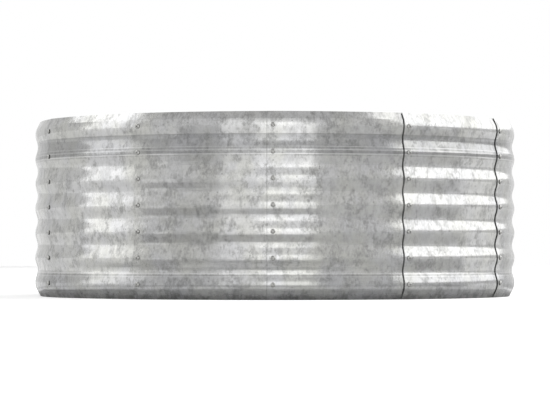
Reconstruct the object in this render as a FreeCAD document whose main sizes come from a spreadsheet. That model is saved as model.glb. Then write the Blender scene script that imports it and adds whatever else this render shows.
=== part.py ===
import FreeCAD, Part
import math
import os
import Sketcher
from FreeCAD import Placement, Rotation, Vector

# Round raised garden bed: a bottomless ring of corrugated, galvanised steel wall panels.
# Neighbouring panels lap and are bolted together through every crest of the corrugation.
# Frame: origin on the ground at the middle of the ring, +Z up, the photographed side at -Y.

doc = FreeCAD.newDocument("raised_garden_bed")

# ---------------------------------------------------------------- driving dimensions (mm, deg)
sheet = doc.addObject("Spreadsheet::Sheet", "dims")
DRIVING = [
    ("height", "360", "ground to top edge"),
    ("seam_radius", "501.5", "bed axis to the outside of a crest, at the bolts"),
    ("seam_turn", "4", "turn of the wall at a seam, the panels being flatter than the ring"),
    ("sheet_thickness", "0.8", "galvanised sheet"),
    ("lap_gap", "0.2", "air between lapped sheets at the covered edge"),
    ("crest_count", "7", "crests up the wall"),
    ("pitch", "50.8", "crest to crest"),
    ("wave_depth", "4.9", "crest to trough"),
    ("flank_slope", "17", "flank of the corrugation, from vertical"),
    ("first_crest", "29", "ground to the lowest crest"),
    ("edge_slope", "27.5", "top and bottom edge strips, from vertical, bent inwards"),
    ("edge_bend", "3", "bend between a flank and an edge strip, mid sheet"),
    ("foot_bend_drop", "11", "lowest crest down to the middle of its edge bend"),
    ("head_bend_rise", "11.5", "highest crest up to the middle of its edge bend"),
    ("panel_count", "11", "wall panels round the ring"),
    ("front_seam", "-0.45", "the seam nearest the viewer, to the right of straight ahead"),
    ("centre_span", "31.45", "each panel beside the front seam, seam to seam"),
    ("outer_span", "33.1", "the next panel on each side"),
    ("lap_margin", "11", "bolt line to the panel's edge"),
    ("bolt_hole", "5.6", "hole in the sheets"),
    ("shank", "5", "bolt diameter"),
    ("bolt_length", "12", "under the head"),
    ("head_width", "9.6", "pan head diameter"),
    ("head_height", "3.2", "pan head"),
    ("head_side", "1.1", "upright side of the pan head"),
    ("tip_chamfer", "0.6", "end of the shank"),
    ("recess_span", "4.6", "cross recess, tip to tip"),
    ("recess_slot", "1.1", "cross recess, width of an arm"),
    ("recess_depth", "1.7", "cross recess"),
    ("washer_width", "12", "outer diameter"),
    ("washer_hole", "5.3", "inner diameter"),
    ("washer_thick", "1", "flat washer"),
    ("nut_flats", "8", "across flats"),
    ("nut_thick", "4", "hexagon nut"),
    ("nut_bore", "5.1", "plain bore, clear of the shank"),
    ("nut_chamfer", "0.5", "depth of the cone that takes off the nut's corners"),
    ("nut_cone", "9.6", "diameter that the cone reaches, past the corners"),
    ("seat_gap", "0.05", "clearance where a fastener bears on its neighbour"),
]

# Sizes that follow from the driving ones. A wave is two arcs and two straight flanks, so the
# arcs' radius is what is left of the depth once the flanks have taken their slope.
DERIVED = [
    ("wave_bend", "(pitch / 2 * tan(flank_slope * 1deg) - wave_depth)"
                  " / (2 * (1 / cos(flank_slope * 1deg) - 1))"),
    ("wide_bend", "wave_bend + sheet_thickness / 2"),
    ("tight_bend", "wave_bend - sheet_thickness / 2"),
    ("last_crest", "first_crest + (crest_count - 1) * pitch"),
    ("bolt_run", "(crest_count - 1) * pitch"),
    ("lap_step", "sheet_thickness + lap_gap + lap_margin * tan(seam_turn * 1deg)"),
    ("rear_span", "(360 - 2 * centre_span - 2 * outer_span) / (panel_count - 4)"),
    ("head_seat", "seam_radius + lap_step / 2 + seat_gap"
                  " + head_width / 2 * tan(seam_turn / 2 * 1deg)"),
    ("washer_seat", "seam_radius - lap_step / 2 - sheet_thickness - 2 * seat_gap"
                    " - washer_width / 2 * tan(seam_turn / 2 * 1deg)"
                    " - (washer_width / 2) ^ 2 / (2 * tight_bend)"),
    ("nut_seat", "washer_seat - washer_thick - seat_gap"),
]

# A panel turns through its span less the turn at a seam, so it has a longer radius (bow) than
# the ring. Its own axis lies behind the bed's (setback), and a little to one side (shift), by
# just enough to part the lapped sheets. Seen from its own axis that puts both bolt lines
# slightly to the right (slide). Reach is the panel's angle each way from between them.
for kind in ("centre", "outer", "rear"):
    half_span = "%s_span / 2 * 1deg" % kind
    half_turn = "(%s_span - seam_turn) / 2 * 1deg" % kind
    DERIVED += [
        (kind + "_bow", "seam_radius * sin(%s) / sin(%s)" % (half_span, half_turn)),
        (kind + "_setback", "%s_bow * cos(%s) - seam_radius * cos(%s)" % (kind, half_turn, half_span)),
        (kind + "_shift", "lap_step / (2 * sin(%s))" % half_turn),
        (kind + "_slide", "%s_shift * cos(%s) / %s_bow * 180 / pi" % (kind, half_turn, kind)),
        (kind + "_reach", "(%s_span - seam_turn) / 2 + lap_margin / %s_bow * 180 / pi" % (kind, kind)),
        (kind + "_crest", "%s_bow - wide_bend" % kind),
        (kind + "_trough", "%s_bow - wave_depth + tight_bend" % kind),
    ]

# Panels run to the right from the front seam; panel i lies between seam i and seam i + 1.
KINDS = ["centre", "outer"] + ["rear"] * 7 + ["outer", "centre"]
DERIVED.append(("seam_angle_1", "front_seam - 90"))
for seam, kind in enumerate(KINDS[:-1], start=2):
    DERIVED.append(("seam_angle_%d" % seam, "seam_angle_%d + %s_span" % (seam - 1, kind)))

for row, (alias, value, note) in enumerate(DRIVING, start=1):
    sheet.set("A%d" % row, note)
    sheet.set("B%d" % row, value)
    sheet.setAlias("B%d" % row, alias)
for row, (alias, formula) in enumerate(DERIVED, start=len(DRIVING) + 1):
    sheet.set("A%d" % row, "follows from the rest")
    sheet.set("B%d" % row, "=" + formula)
    sheet.setAlias("B%d" % row, alias)
doc.recompute()


def size(alias):
    """The value of one cell of the sheet."""
    return float(getattr(sheet, alias))


if size("panel_count") != len(KINDS):
    raise ValueError("the list of spans doesn't match the panel count")


# ---------------------------------------------------------------- sketch helpers
# How a sketch numbers the ends of its lines and arcs, its origin and its two axes.
START, END, CENTRE = 1, 2, 3
ORIGIN = (-1, 1)
ACROSS_AXIS, UP_AXIS = (-1,), (-2,)
# A cut has to take at least this much, in mm3, and the panels' holes this share of their sum.
LEAST_CUT = 1.0
HOLE_TOLERANCE = 0.05


def origin_feature(body, role):
    """One of a body's own origin planes or axes."""
    return next(f for f in body.Origin.OriginFeatures if f.Role == role)


def add_body(label):
    body = doc.addObject("PartDesign::Body", label)
    body.Label = label
    return body


def check_cut(label, before, after):
    if before.Shape.Volume - after.Shape.Volume < LEAST_CUT:
        raise ValueError("%s: %s cuts nothing" % (label, after.Name))


def add_sketch(body, name, role):
    """A sketch flat on an origin plane of its own body."""
    sketch = body.newObject("Sketcher::SketchObject", name)
    sketch.AttachmentSupport = [(origin_feature(body, role), "")]
    sketch.MapMode = "FlatFace"
    return sketch


def add_line(sketch, start, end):
    return sketch.addGeometry(Part.LineSegment(Vector(*start, 0), Vector(*end, 0)), False)


def add_arc(sketch, centre, radius, first, last):
    """An arc drawn anticlockwise from one angle to the other, in degrees."""
    circle = Part.Circle(Vector(*centre, 0), Vector(0, 0, 1), radius)
    arc = Part.ArcOfCircle(circle, math.radians(first), math.radians(last))
    return sketch.addGeometry(arc, False)


def add_circle(sketch, centre, radius):
    return sketch.addGeometry(Part.Circle(Vector(*centre, 0), Vector(0, 0, 1), radius), False)


def end_of(sketch, ref):
    """Where an end of a sketched line or arc lies."""
    point = sketch.getPoint(*ref)
    return point.x, point.y


def relate(sketch, kind, *refs):
    sketch.addConstraint(Sketcher.Constraint(kind, *[value for ref in refs for value in ref]))


def bind(sketch, kind, refs, value, formula):
    """A dimension that starts at its value and follows the sheet's formula."""
    targets = [item for ref in refs for item in ref]
    index = sketch.addConstraint(Sketcher.Constraint(kind, *targets, value))
    sketch.setExpression("Constraints[%d]" % index, formula)


def place_point(sketch, ref, across, up, across_formula, up_formula):
    """Fixes a point's two distances from the sketch's origin."""
    bind(sketch, "DistanceX", [ORIGIN, ref], across, across_formula)
    bind(sketch, "DistanceY", [ORIGIN, ref], up, up_formula)


# ---------------------------------------------------------------- wall panels
def draw_wave(body, kind):
    """Section of the sheet from the lowest crest through one trough to the next crest."""
    sketch = add_sketch(body, "wave_section", "XZ_Plane")
    low = size("first_crest")
    mid = low + size("pitch") / 2
    high = low + size("pitch")
    crest, trough = size(kind + "_crest"), size(kind + "_trough")
    flank = size("flank_slope")
    faces = []
    for crest_bend, trough_bend in (("wide_bend", "tight_bend"), ("tight_bend", "wide_bend")):
        crest_r, trough_r = size(crest_bend), size(trough_bend)
        lower = add_arc(sketch, (crest, low), crest_r, 0, flank)
        valley = add_arc(sketch, (trough, mid), trough_r, 180 - flank, 180 + flank)
        upper = add_arc(sketch, (crest, high), crest_r, -flank, 0)
        rise = add_line(sketch, end_of(sketch, (lower, END)), end_of(sketch, (valley, END)))
        climb = add_line(sketch, end_of(sketch, (valley, START)), end_of(sketch, (upper, START)))
        relate(sketch, "Tangent", (lower, END), (rise, START))
        relate(sketch, "Tangent", (rise, END), (valley, END))
        relate(sketch, "Tangent", (valley, START), (climb, START))
        relate(sketch, "Tangent", (climb, END), (upper, START))
        bind(sketch, "Radius", [(lower,)], crest_r, "dims." + crest_bend)
        bind(sketch, "Radius", [(upper,)], crest_r, "dims." + crest_bend)
        bind(sketch, "Radius", [(valley,)], trough_r, "dims." + trough_bend)
        faces.append((lower, valley, upper))
    (lower, valley, upper), (lower_in, valley_in, upper_in) = faces
    for centre, across, cell, up, rise in (
            (lower, crest, "crest", low, "0"),
            (valley, trough, "trough", mid, "dims.pitch / 2"),
            (upper, crest, "crest", high, "dims.pitch")):
        place_point(sketch, (centre, CENTRE), across, up, "dims.%s_%s" % (kind, cell),
                    "dims.first_crest + " + rise)
    for outer_arc, inner_arc in zip(faces[0], faces[1]):
        relate(sketch, "Coincident", (outer_arc, CENTRE), (inner_arc, CENTRE))
    for outer_arc, inner_arc, tip in ((lower, lower_in, START), (upper, upper_in, END)):
        cut = add_line(sketch, end_of(sketch, (outer_arc, tip)), end_of(sketch, (inner_arc, tip)))
        relate(sketch, "Coincident", (outer_arc, tip), (cut, START))
        relate(sketch, "Coincident", (inner_arc, tip), (cut, END))
        relate(sketch, "Horizontal", (cut,))
        relate(sketch, "Horizontal", (outer_arc, CENTRE), (outer_arc, tip))
    return sketch


def draw_edge(body, kind, name, side, crest_cell, bend_cell, end_formula):
    """Section from an end crest to the panel's edge: crest, flank, bend and edge strip.

    side is 1 for the top edge and -1 for the bottom edge.
    """
    sketch = add_sketch(body, name, "XZ_Plane")
    crest_z, step = size(crest_cell), side * size(bend_cell)
    edge_z = size("height") if side > 0 else 0.0
    near, far = (START, END) if side > 0 else (END, START)
    flank, strip = math.radians(size("flank_slope")), math.radians(size("edge_slope"))
    reach = size("wave_bend") - size("edge_bend")
    centre = (size(kind + "_crest"), crest_z)
    bend_x = centre[0] + (reach - abs(step) * math.sin(flank)) / math.cos(flank)
    bend_centre = (bend_x, crest_z + step)
    faces = []
    for crest_bend, grow, sign in (("wide_bend", 1, "+"), ("tight_bend", -1, "-")):
        crest_r = size(crest_bend)
        bend_r = size("edge_bend") + grow * size("sheet_thickness") / 2
        first, last = sorted((0, side * size("flank_slope")))
        crest = add_arc(sketch, centre, crest_r, first, last)
        first, last = sorted((side * size("flank_slope"), side * size("edge_slope")))
        bend = add_arc(sketch, bend_centre, bend_r, first, last)
        corner = end_of(sketch, (bend, far))
        run = (edge_z - corner[1]) * side
        tip = (corner[0] - run * math.tan(strip), edge_z)
        slope = add_line(sketch, end_of(sketch, (crest, far)), end_of(sketch, (bend, near)))
        strip_line = add_line(sketch, corner, tip)
        relate(sketch, "Tangent", (crest, far), (slope, START))
        relate(sketch, "Tangent", (slope, END), (bend, near))
        relate(sketch, "Tangent", (bend, far), (strip_line, START))
        bind(sketch, "Radius", [(crest,)], crest_r, "dims." + crest_bend)
        bind(sketch, "Radius", [(bend,)], bend_r,
             "dims.edge_bend %s dims.sheet_thickness / 2" % sign)
        faces.append((crest, bend, slope, strip_line))
    (crest, bend, slope, strip_line), (crest_in, bend_in, slope_in, strip_in) = faces
    place_point(sketch, (crest, CENTRE), *centre, "dims.%s_crest" % kind, "dims." + crest_cell)
    span = [(crest, CENTRE), (bend, CENTRE)][::side]
    bind(sketch, "DistanceY", span, abs(step), "dims." + bend_cell)
    relate(sketch, "Coincident", (crest, CENTRE), (crest_in, CENTRE))
    relate(sketch, "Coincident", (bend, CENTRE), (bend_in, CENTRE))
    relate(sketch, "Horizontal", (crest, CENTRE), (crest, near))
    bind(sketch, "Angle", [(slope,)], side * (math.pi / 2 + flank),
         "%d * (90 + dims.flank_slope)" % side)
    bind(sketch, "Angle", [(strip_line,)], side * (math.pi / 2 + strip),
         "%d * (90 + dims.edge_slope)" % side)
    relate(sketch, "Parallel", (strip_line,), (strip_in,))
    for outer_end, inner_end in (((crest, near), (crest_in, near)),
                                 ((strip_line, END), (strip_in, END))):
        cut = add_line(sketch, end_of(sketch, outer_end), end_of(sketch, inner_end))
        relate(sketch, "Coincident", outer_end, (cut, START))
        relate(sketch, "Coincident", inner_end, (cut, END))
        relate(sketch, "Horizontal", (cut,))
    span = [(crest, CENTRE), (strip_line, END)][::side]
    bind(sketch, "DistanceY", span, abs(edge_z - crest_z), end_formula)
    return sketch


def sweep_round(body, name, sketch, kind):
    """Turns a section about the panel's upright axis, to its right edge and its left edge."""
    turned = body.newObject("PartDesign::Revolution", name)
    turned.Profile = sketch
    turned.ReferenceAxis = (sketch, ["V_Axis"])
    turned.Type = "TwoAngles"
    turned.setExpression("Angle", "dims.%s_reach + dims.%s_slide" % (kind, kind))
    turned.setExpression("Angle2", "dims.%s_reach - dims.%s_slide" % (kind, kind))
    sketch.Visibility = False
    return turned


def repeat_up(body, name, features, length_cell, count_formula):
    """Repeats features up the wall, one to a crest or a wave."""
    pattern = body.newObject("PartDesign::LinearPattern", name)
    pattern.Originals = features
    pattern.Direction = (origin_feature(body, "Z_Axis"), [""])
    pattern.setExpression("Length", length_cell)
    pattern.setExpression("Occurrences", count_formula)
    body.Tip = pattern
    return pattern


def drill_seam(body, name, kind, side):
    """A bolt hole through the lowest crest on one of the panel's two bolt lines.

    The hole points at the bed's axis, which isn't quite the panel's own axis.
    """
    sketch = add_sketch(body, name + "_place", "YZ_Plane")
    # Any turn about the upright sets the axis; the sheet's formulas then give the real values.
    sketch.AttachmentOffset = Placement(Vector(1, 0, 1), Rotation(Vector(0, 1, 0), 1))
    sketch.setExpression(".AttachmentOffset.Base.x", "dims.%s_shift" % kind)
    sketch.setExpression(".AttachmentOffset.Base.z", "dims.%s_setback" % kind)
    sketch.setExpression(".AttachmentOffset.Rotation.Angle", "%d * dims.%s_span / 2" % (side, kind))
    hole = add_circle(sketch, (0, size("first_crest")), size("bolt_hole") / 2)
    bind(sketch, "Diameter", [(hole,)], size("bolt_hole"), "dims.bolt_hole")
    bind(sketch, "DistanceY", [ORIGIN, (hole, CENTRE)], size("first_crest"), "dims.first_crest")
    relate(sketch, "PointOnObject", (hole, CENTRE), UP_AXIS)
    pocket = body.newObject("PartDesign::Pocket", name)
    pocket.Profile = sketch
    pocket.Reversed = True
    pocket.setExpression("Length", "dims.seam_radius + dims.lap_margin")
    sketch.Visibility = False
    return pocket


def make_panel(number, kind):
    """One corrugated panel with its edge strips and its two rows of bolt holes.

    Its left edge, seen from outside, laps over its neighbour and its right edge lies under
    the next panel.
    """
    body = add_body("wall_panel_%02d" % number)
    wave = sweep_round(body, "wave", draw_wave(body, kind), kind)
    repeat_up(body, "waves", [wave], "dims.bolt_run - dims.pitch", "dims.crest_count - 1")
    for name, side, crest, bend, end in (
            ("head", 1, "last_crest", "head_bend_rise", "dims.height - dims.last_crest"),
            ("foot", -1, "first_crest", "foot_bend_drop", "dims.first_crest")):
        strip_sketch = draw_edge(body, kind, name + "_section", side, crest, bend, end)
        body.Tip = sweep_round(body, name + "_strip", strip_sketch, kind)
    doc.recompute()
    whole = body.Shape.Volume
    holes = [drill_seam(body, "left_hole", kind, -1), drill_seam(body, "right_hole", kind, 1)]
    repeat_up(body, "holes", holes, "dims.bolt_run", "dims.crest_count")
    middle = "(dims.seam_angle_%d + dims.%s_span / 2)" % (number, kind)
    along, across = "cos(%s * 1deg)" % middle, "sin(%s * 1deg)" % middle
    setback, shift = "dims.%s_setback" % kind, "dims.%s_shift" % kind
    # Any turn about the upright sets the axis; the sheet's formulas then give the real values.
    body.Placement = Placement(Vector(1, 1, 0), Rotation(Vector(0, 0, 1), 1))
    body.setExpression(".Placement.Rotation.Angle", middle)
    body.setExpression(".Placement.Base.x", "%s * %s - %s * %s" % (shift, across, setback, along))
    body.setExpression(".Placement.Base.y", "-%s * %s - %s * %s" % (shift, along, setback, across))
    doc.recompute()
    drilled = whole - body.Shape.Volume
    one = math.pi / 4 * size("bolt_hole") ** 2 * size("sheet_thickness")
    expected = 2 * size("crest_count") * one
    if abs(drilled - expected) > HOLE_TOLERANCE * expected:
        raise ValueError("%s: holes took %.1f, not %.1f mm3" % (body.Label, drilled, expected))
    return body


panels = [make_panel(number, kind) for number, kind in enumerate(KINDS, start=1)]


# ---------------------------------------------------------------- seam fasteners
# One body to a seam and a kind, turned so that its X axis runs out through the seam. The
# fasteners are drawn at the ground and raised with their body to the lowest crest.
def stand_on_seam(body, number):
    """Any turn about the upright sets the axis; the sheet's formulas give the real values."""
    body.Placement = Placement(Vector(0, 0, 1), Rotation(Vector(0, 0, 1), 1))
    body.setExpression(".Placement.Rotation.Angle", "dims.seam_angle_%d" % number)
    body.setExpression(".Placement.Base.z", "dims.first_crest")


def draw_closed(sketch, points):
    """Joins points into a closed outline and returns its lines."""
    lines = [add_line(sketch, a, b) for a, b in zip(points, points[1:] + points[:1])]
    for line, following in zip(lines, lines[1:] + lines[:1]):
        relate(sketch, "Coincident", (line, END), (following, START))
    return lines


def square_to_bolt(body, name, across_formula):
    """A sketch square to the bolt axis, at a distance from the bed's axis."""
    sketch = add_sketch(body, name, "YZ_Plane")
    sketch.setExpression(".AttachmentOffset.Base.z", across_formula)
    return sketch


def make_bolts(number):
    """The seven pan-head bolts of a seam: M5, cross recess, plain shank for its thread."""
    body = add_body("seam_bolts_%02d" % number)
    seat, shank = size("head_seat"), size("shank") / 2
    tip, chamfer = seat - size("bolt_length"), size("tip_chamfer")
    head_r, side, top = size("head_width") / 2, seat + size("head_side"), seat + size("head_height")
    dome = (top ** 2 - side ** 2 - head_r ** 2) / (2 * (top - side))
    sketch = add_sketch(body, "bolt_section", "XZ_Plane")
    outline = [(top, 0), (tip, 0), (tip, shank - chamfer), (tip + chamfer, shank), (seat, shank),
               (seat, head_r), (side, head_r)]
    lines = [add_line(sketch, a, b) for a, b in zip(outline, outline[1:])]
    axis_line, end_face, bevel, shank_line, under_head, head_wall = lines
    rim = math.degrees(math.atan2(head_r, side - dome))
    crown = add_arc(sketch, (dome, 0), top - dome, 0, rim)
    for line, following in zip(lines, lines[1:]):
        relate(sketch, "Coincident", (line, END), (following, START))
    relate(sketch, "Coincident", (head_wall, END), (crown, END))
    relate(sketch, "Coincident", (crown, START), (axis_line, START))
    for ref in ((axis_line, START), (axis_line, END), (crown, CENTRE)):
        relate(sketch, "PointOnObject", ref, ACROSS_AXIS)
    for line in (end_face, under_head):
        relate(sketch, "Vertical", (line,))
    for line in (shank_line, head_wall):
        relate(sketch, "Horizontal", (line,))
    place_point(sketch, (shank_line, END), seat, shank, "dims.head_seat", "dims.shank / 2")
    bind(sketch, "DistanceX", [(axis_line, END), (shank_line, END)], seat - tip, "dims.bolt_length")
    bind(sketch, "DistanceX", [(bevel, START), (bevel, END)], chamfer, "dims.tip_chamfer")
    bind(sketch, "DistanceY", [(bevel, START), (bevel, END)], chamfer, "dims.tip_chamfer")
    bind(sketch, "DistanceY", [ORIGIN, (under_head, END)], head_r, "dims.head_width / 2")
    bind(sketch, "DistanceX", [(head_wall, START), (head_wall, END)], side - seat, "dims.head_side")
    bind(sketch, "DistanceX", [(shank_line, END), (axis_line, START)], top - seat, "dims.head_height")
    bolt = body.newObject("PartDesign::Revolution", "bolt")
    bolt.Profile = sketch
    bolt.ReferenceAxis = (sketch, ["H_Axis"])
    bolt.Angle = 360
    cross = square_to_bolt(body, "recess_outline", "dims.head_seat + dims.head_height")
    long, short = size("recess_span") / 2, size("recess_slot") / 2
    quarter = [(short, short), (short, long), (-short, long)]
    points = list(quarter)
    for _ in range(3):
        quarter = [(-y, x) for x, y in quarter]
        points += quarter
    arms = draw_closed(cross, points)
    for line in arms:
        (x0, y0), (x1, y1) = end_of(cross, (line, START)), end_of(cross, (line, END))
        upright = abs(x1 - x0) < abs(y1 - y0)
        level = x0 if upright else y0
        cell = "dims.recess_span / 2" if abs(level) > (long + short) / 2 else "dims.recess_slot / 2"
        ends = [ORIGIN, (line, START)] if level > 0 else [(line, START), ORIGIN]
        relate(cross, "Vertical" if upright else "Horizontal", (line,))
        bind(cross, "DistanceX" if upright else "DistanceY", ends, abs(level), cell)
    recess = body.newObject("PartDesign::Pocket", "recess")
    recess.Profile = cross
    recess.setExpression("Length", "dims.recess_depth")
    doc.recompute()
    check_cut(body.Label, bolt, recess)
    repeat_up(body, "bolts", [bolt, recess], "dims.bolt_run", "dims.crest_count")
    stand_on_seam(body, number)
    return body


def pad_round(body, name, sketch, length_cell):
    pad = body.newObject("PartDesign::Pad", name)
    pad.Profile = sketch
    pad.setExpression("Length", "dims." + length_cell)
    return pad


def centred_circle(sketch, cell):
    circle = add_circle(sketch, (0, 0), size(cell) / 2)
    relate(sketch, "Coincident", (circle, CENTRE), ORIGIN)
    bind(sketch, "Diameter", [(circle,)], size(cell), "dims." + cell)


def make_washers(number):
    """The flat washers of a seam, against the inside of the sheet."""
    body = add_body("seam_washers_%02d" % number)
    sketch = square_to_bolt(body, "washer_outline", "dims.washer_seat - dims.washer_thick")
    centred_circle(sketch, "washer_width")
    centred_circle(sketch, "washer_hole")
    washer = pad_round(body, "washer", sketch, "washer_thick")
    doc.recompute()
    repeat_up(body, "washers", [washer], "dims.bolt_run", "dims.crest_count")
    stand_on_seam(body, number)
    return body


def make_nuts(number):
    """The hexagon nuts of a seam, inside the bed, with their corners turned off."""
    body = add_body("seam_nuts_%02d" % number)
    sketch = square_to_bolt(body, "nut_outline", "dims.nut_seat - dims.nut_thick")
    centred_circle(sketch, "nut_bore")
    corner_r = size("nut_flats") / 2 / math.cos(math.pi / 6)
    guide = add_circle(sketch, (0, 0), corner_r)
    sketch.setConstruction(guide, True)
    relate(sketch, "Coincident", (guide, CENTRE), ORIGIN)
    bind(sketch, "Radius", [(guide,)], corner_r, "dims.nut_flats / 2 / cos(30deg)")
    corners = [(corner_r * math.cos(k * math.pi / 3), corner_r * math.sin(k * math.pi / 3))
               for k in range(6)]
    flats = draw_closed(sketch, corners)
    for flat in flats:
        relate(sketch, "PointOnObject", (flat, START), (guide,))
    for flat in flats[1:]:
        relate(sketch, "Equal", (flats[0],), (flat,))
    relate(sketch, "Horizontal", (flats[1],))
    nut = pad_round(body, "nut", sketch, "nut_thick")
    cone = add_sketch(body, "corner_section", "XZ_Plane")
    flat_r, clear_r, depth = size("nut_flats") / 2, size("nut_cone") / 2, size("nut_chamfer")
    seat, free = size("nut_seat"), size("nut_seat") - size("nut_thick")
    for cell, face, inwards in (("nut_seat", seat, -1), ("nut_seat - dims.nut_thick", free, 1)):
        points = [(face, flat_r), (face, clear_r), (face + inwards * depth, clear_r)]
        up, along, _ = draw_closed(cone, points)
        relate(cone, "Vertical", (up,))
        relate(cone, "Horizontal", (along,))
        place_point(cone, (up, START), face, flat_r, "dims." + cell, "dims.nut_flats / 2")
        bind(cone, "DistanceY", [ORIGIN, (up, END)], clear_r, "dims.nut_cone / 2")
        bind(cone, "DistanceX", [(along, START), (along, END)][::inwards], depth, "dims.nut_chamfer")
    doc.recompute()
    turned = body.newObject("PartDesign::Groove", "turned_corners")
    turned.Profile = cone
    turned.ReferenceAxis = (cone, ["H_Axis"])
    turned.Angle = 360
    doc.recompute()
    check_cut(body.Label, nut, turned)
    repeat_up(body, "nuts", [nut, turned], "dims.bolt_run", "dims.crest_count")
    stand_on_seam(body, number)
    return body


fasteners = [make(number) for number in range(1, len(KINDS) + 1)
             for make in (make_bolts, make_washers, make_nuts)]
doc.recompute()


# ---------------------------------------------------------------- checks and files
for thing in doc.Objects:
    if "Invalid" in thing.State or "Error" in thing.State:
        raise ValueError("%s failed: %s" % (thing.Name, thing.State))
for body, solids in [(p, 1) for p in panels] + [(f, int(size("crest_count"))) for f in fasteners]:
    if body.Shape.isNull() or not body.Shape.isValid() or len(body.Shape.Solids) != solids:
        raise ValueError("%s has no sound shape" % body.Label)

os.makedirs("parts", exist_ok=True)
for body in panels + fasteners:
    body.Shape.exportStep("parts/%s.step" % body.Label)
print("%d nodes written" % len(panels + fasteners))
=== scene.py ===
import math
import bmesh
import bpy
from mathutils import Matrix, Vector


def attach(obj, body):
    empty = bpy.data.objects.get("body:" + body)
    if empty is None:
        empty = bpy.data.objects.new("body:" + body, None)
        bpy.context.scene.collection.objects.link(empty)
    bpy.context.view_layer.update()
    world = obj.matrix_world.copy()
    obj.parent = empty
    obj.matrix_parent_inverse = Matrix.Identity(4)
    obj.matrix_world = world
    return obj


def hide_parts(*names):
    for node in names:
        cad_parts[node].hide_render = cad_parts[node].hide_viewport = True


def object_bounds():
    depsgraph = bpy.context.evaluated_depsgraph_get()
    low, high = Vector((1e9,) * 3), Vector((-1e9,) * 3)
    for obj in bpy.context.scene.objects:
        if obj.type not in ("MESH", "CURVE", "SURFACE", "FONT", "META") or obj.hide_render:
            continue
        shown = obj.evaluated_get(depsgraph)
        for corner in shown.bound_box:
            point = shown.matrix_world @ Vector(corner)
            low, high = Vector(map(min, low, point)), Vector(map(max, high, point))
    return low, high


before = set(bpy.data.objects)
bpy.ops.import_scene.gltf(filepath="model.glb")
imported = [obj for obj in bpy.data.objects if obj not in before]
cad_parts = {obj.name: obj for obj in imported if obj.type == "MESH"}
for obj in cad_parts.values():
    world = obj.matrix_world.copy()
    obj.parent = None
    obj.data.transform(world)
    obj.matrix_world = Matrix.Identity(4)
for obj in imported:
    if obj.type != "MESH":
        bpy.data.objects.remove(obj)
cad_box = [list(corner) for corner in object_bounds()]


# ---------------------------------------------------------------- wall panels
# Eleven panels of 0.8 mm galvanised sheet, rolled to seven crests and bent to a shallow arc.
# Both long edges are bent inwards, and each panel laps outside its right-hand neighbour's
# end, where the two are punched for one row of bolts.
HEIGHT = cad_box[1][2]
SEAM_RADIUS = 0.5015
SHEET = 0.0008
CRESTS, FIRST_CREST, PITCH, DEPTH = 7, 0.029, 0.0508, 0.0049
FLANK, STRIP = math.radians(17), math.radians(27.5)
EDGE_BEND, FOOT_DROP, HEAD_RISE = 0.003, 0.011, 0.0115
LAP_MARGIN, LAP_GAP = 0.011, 0.0002
SEAM_TURN = math.radians(4)
CENTRE_SPAN, OUTER_SPAN = math.radians(31.45), math.radians(33.1)
PANELS = 11
REAR_SPAN = (math.tau - 2 * CENTRE_SPAN - 2 * OUTER_SPAN) / (PANELS - 4)
FRONT_SEAM = math.radians(-90.45)
SPANS = [CENTRE_SPAN, OUTER_SPAN] + [REAR_SPAN] * (PANELS - 4) + [OUTER_SPAN, CENTRE_SPAN]
SEAMS = [FRONT_SEAM + sum(SPANS[:i]) for i in range(PANELS)]
WAVE_BEND = (PITCH / 2 * math.tan(FLANK) - DEPTH) / (2 * (1 / math.cos(FLANK) - 1))
LAP_STEP = SHEET + LAP_GAP + LAP_MARGIN * math.tan(SEAM_TURN)
COLUMNS, BEND_STEPS, EDGE_STEPS = 61, 10, 3
STRIP_SHARES = (1.0, 0.75, 0.5, 0.25)
# The seam, out of sight, at which the pattern on the metal is cut open.
REAR_CUT = 5
HOLE_RADIUS, PUNCH_SIDES, PUNCH_LENGTH = 0.0028, 24, 0.04
SHARP_EDGE = math.radians(35)


def put(tree, kind, inputs=None, **settings):
    """Adds a node, makes its settings, and links or fills its inputs."""
    node = tree.nodes.new(kind)
    for name, value in settings.items():
        setattr(node, name, value)
    for key, value in (inputs or {}).items():
        if isinstance(key, int):
            socket = node.inputs[key]
        else:
            socket = next(s for s in node.inputs if s.name == key and s.enabled)
        for one in value if isinstance(value, list) else [value]:
            if isinstance(one, bpy.types.NodeSocket):
                tree.links.new(one, socket)
            else:
                socket.default_value = one
    return node


def out(node, name=None):
    """An output in use: the one of that name, or the first."""
    return next(s for s in node.outputs if s.enabled and name in (None, s.name))


def calc(tree, operation, *values, clamp=False):
    """One step of arithmetic on numbers or sockets."""
    node = put(tree, "ShaderNodeMath", dict(enumerate(values)), operation=operation,
               use_clamp=clamp)
    return out(node)


def blend_range(tree, value, low, high, start=0.0, end=1.0):
    """Start below the low value, end above the high one, and smooth between them."""
    node = put(tree, "ShaderNodeMapRange", {"Value": value, "From Min": low, "From Max": high,
                                            "To Min": start, "To Max": end},
               interpolation_type="SMOOTHSTEP")
    return out(node, "Result")


def new_group(name, kind, asked, given):
    """An empty node group with named inputs (type and default) and outputs."""
    tree = bpy.data.node_groups.new(name, kind)
    for label, (socket_type, default) in asked.items():
        socket = tree.interface.new_socket(label, in_out="INPUT", socket_type=socket_type)
        if default is not None:
            socket.default_value = default
    for label, socket_type in given.items():
        tree.interface.new_socket(label, in_out="OUTPUT", socket_type=socket_type)
    start, end = tree.nodes.new("NodeGroupInput"), tree.nodes.new("NodeGroupOutput")
    return tree, start.outputs, end.inputs


NUMBER, VECTOR = "NodeSocketFloat", "NodeSocketVector"


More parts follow.
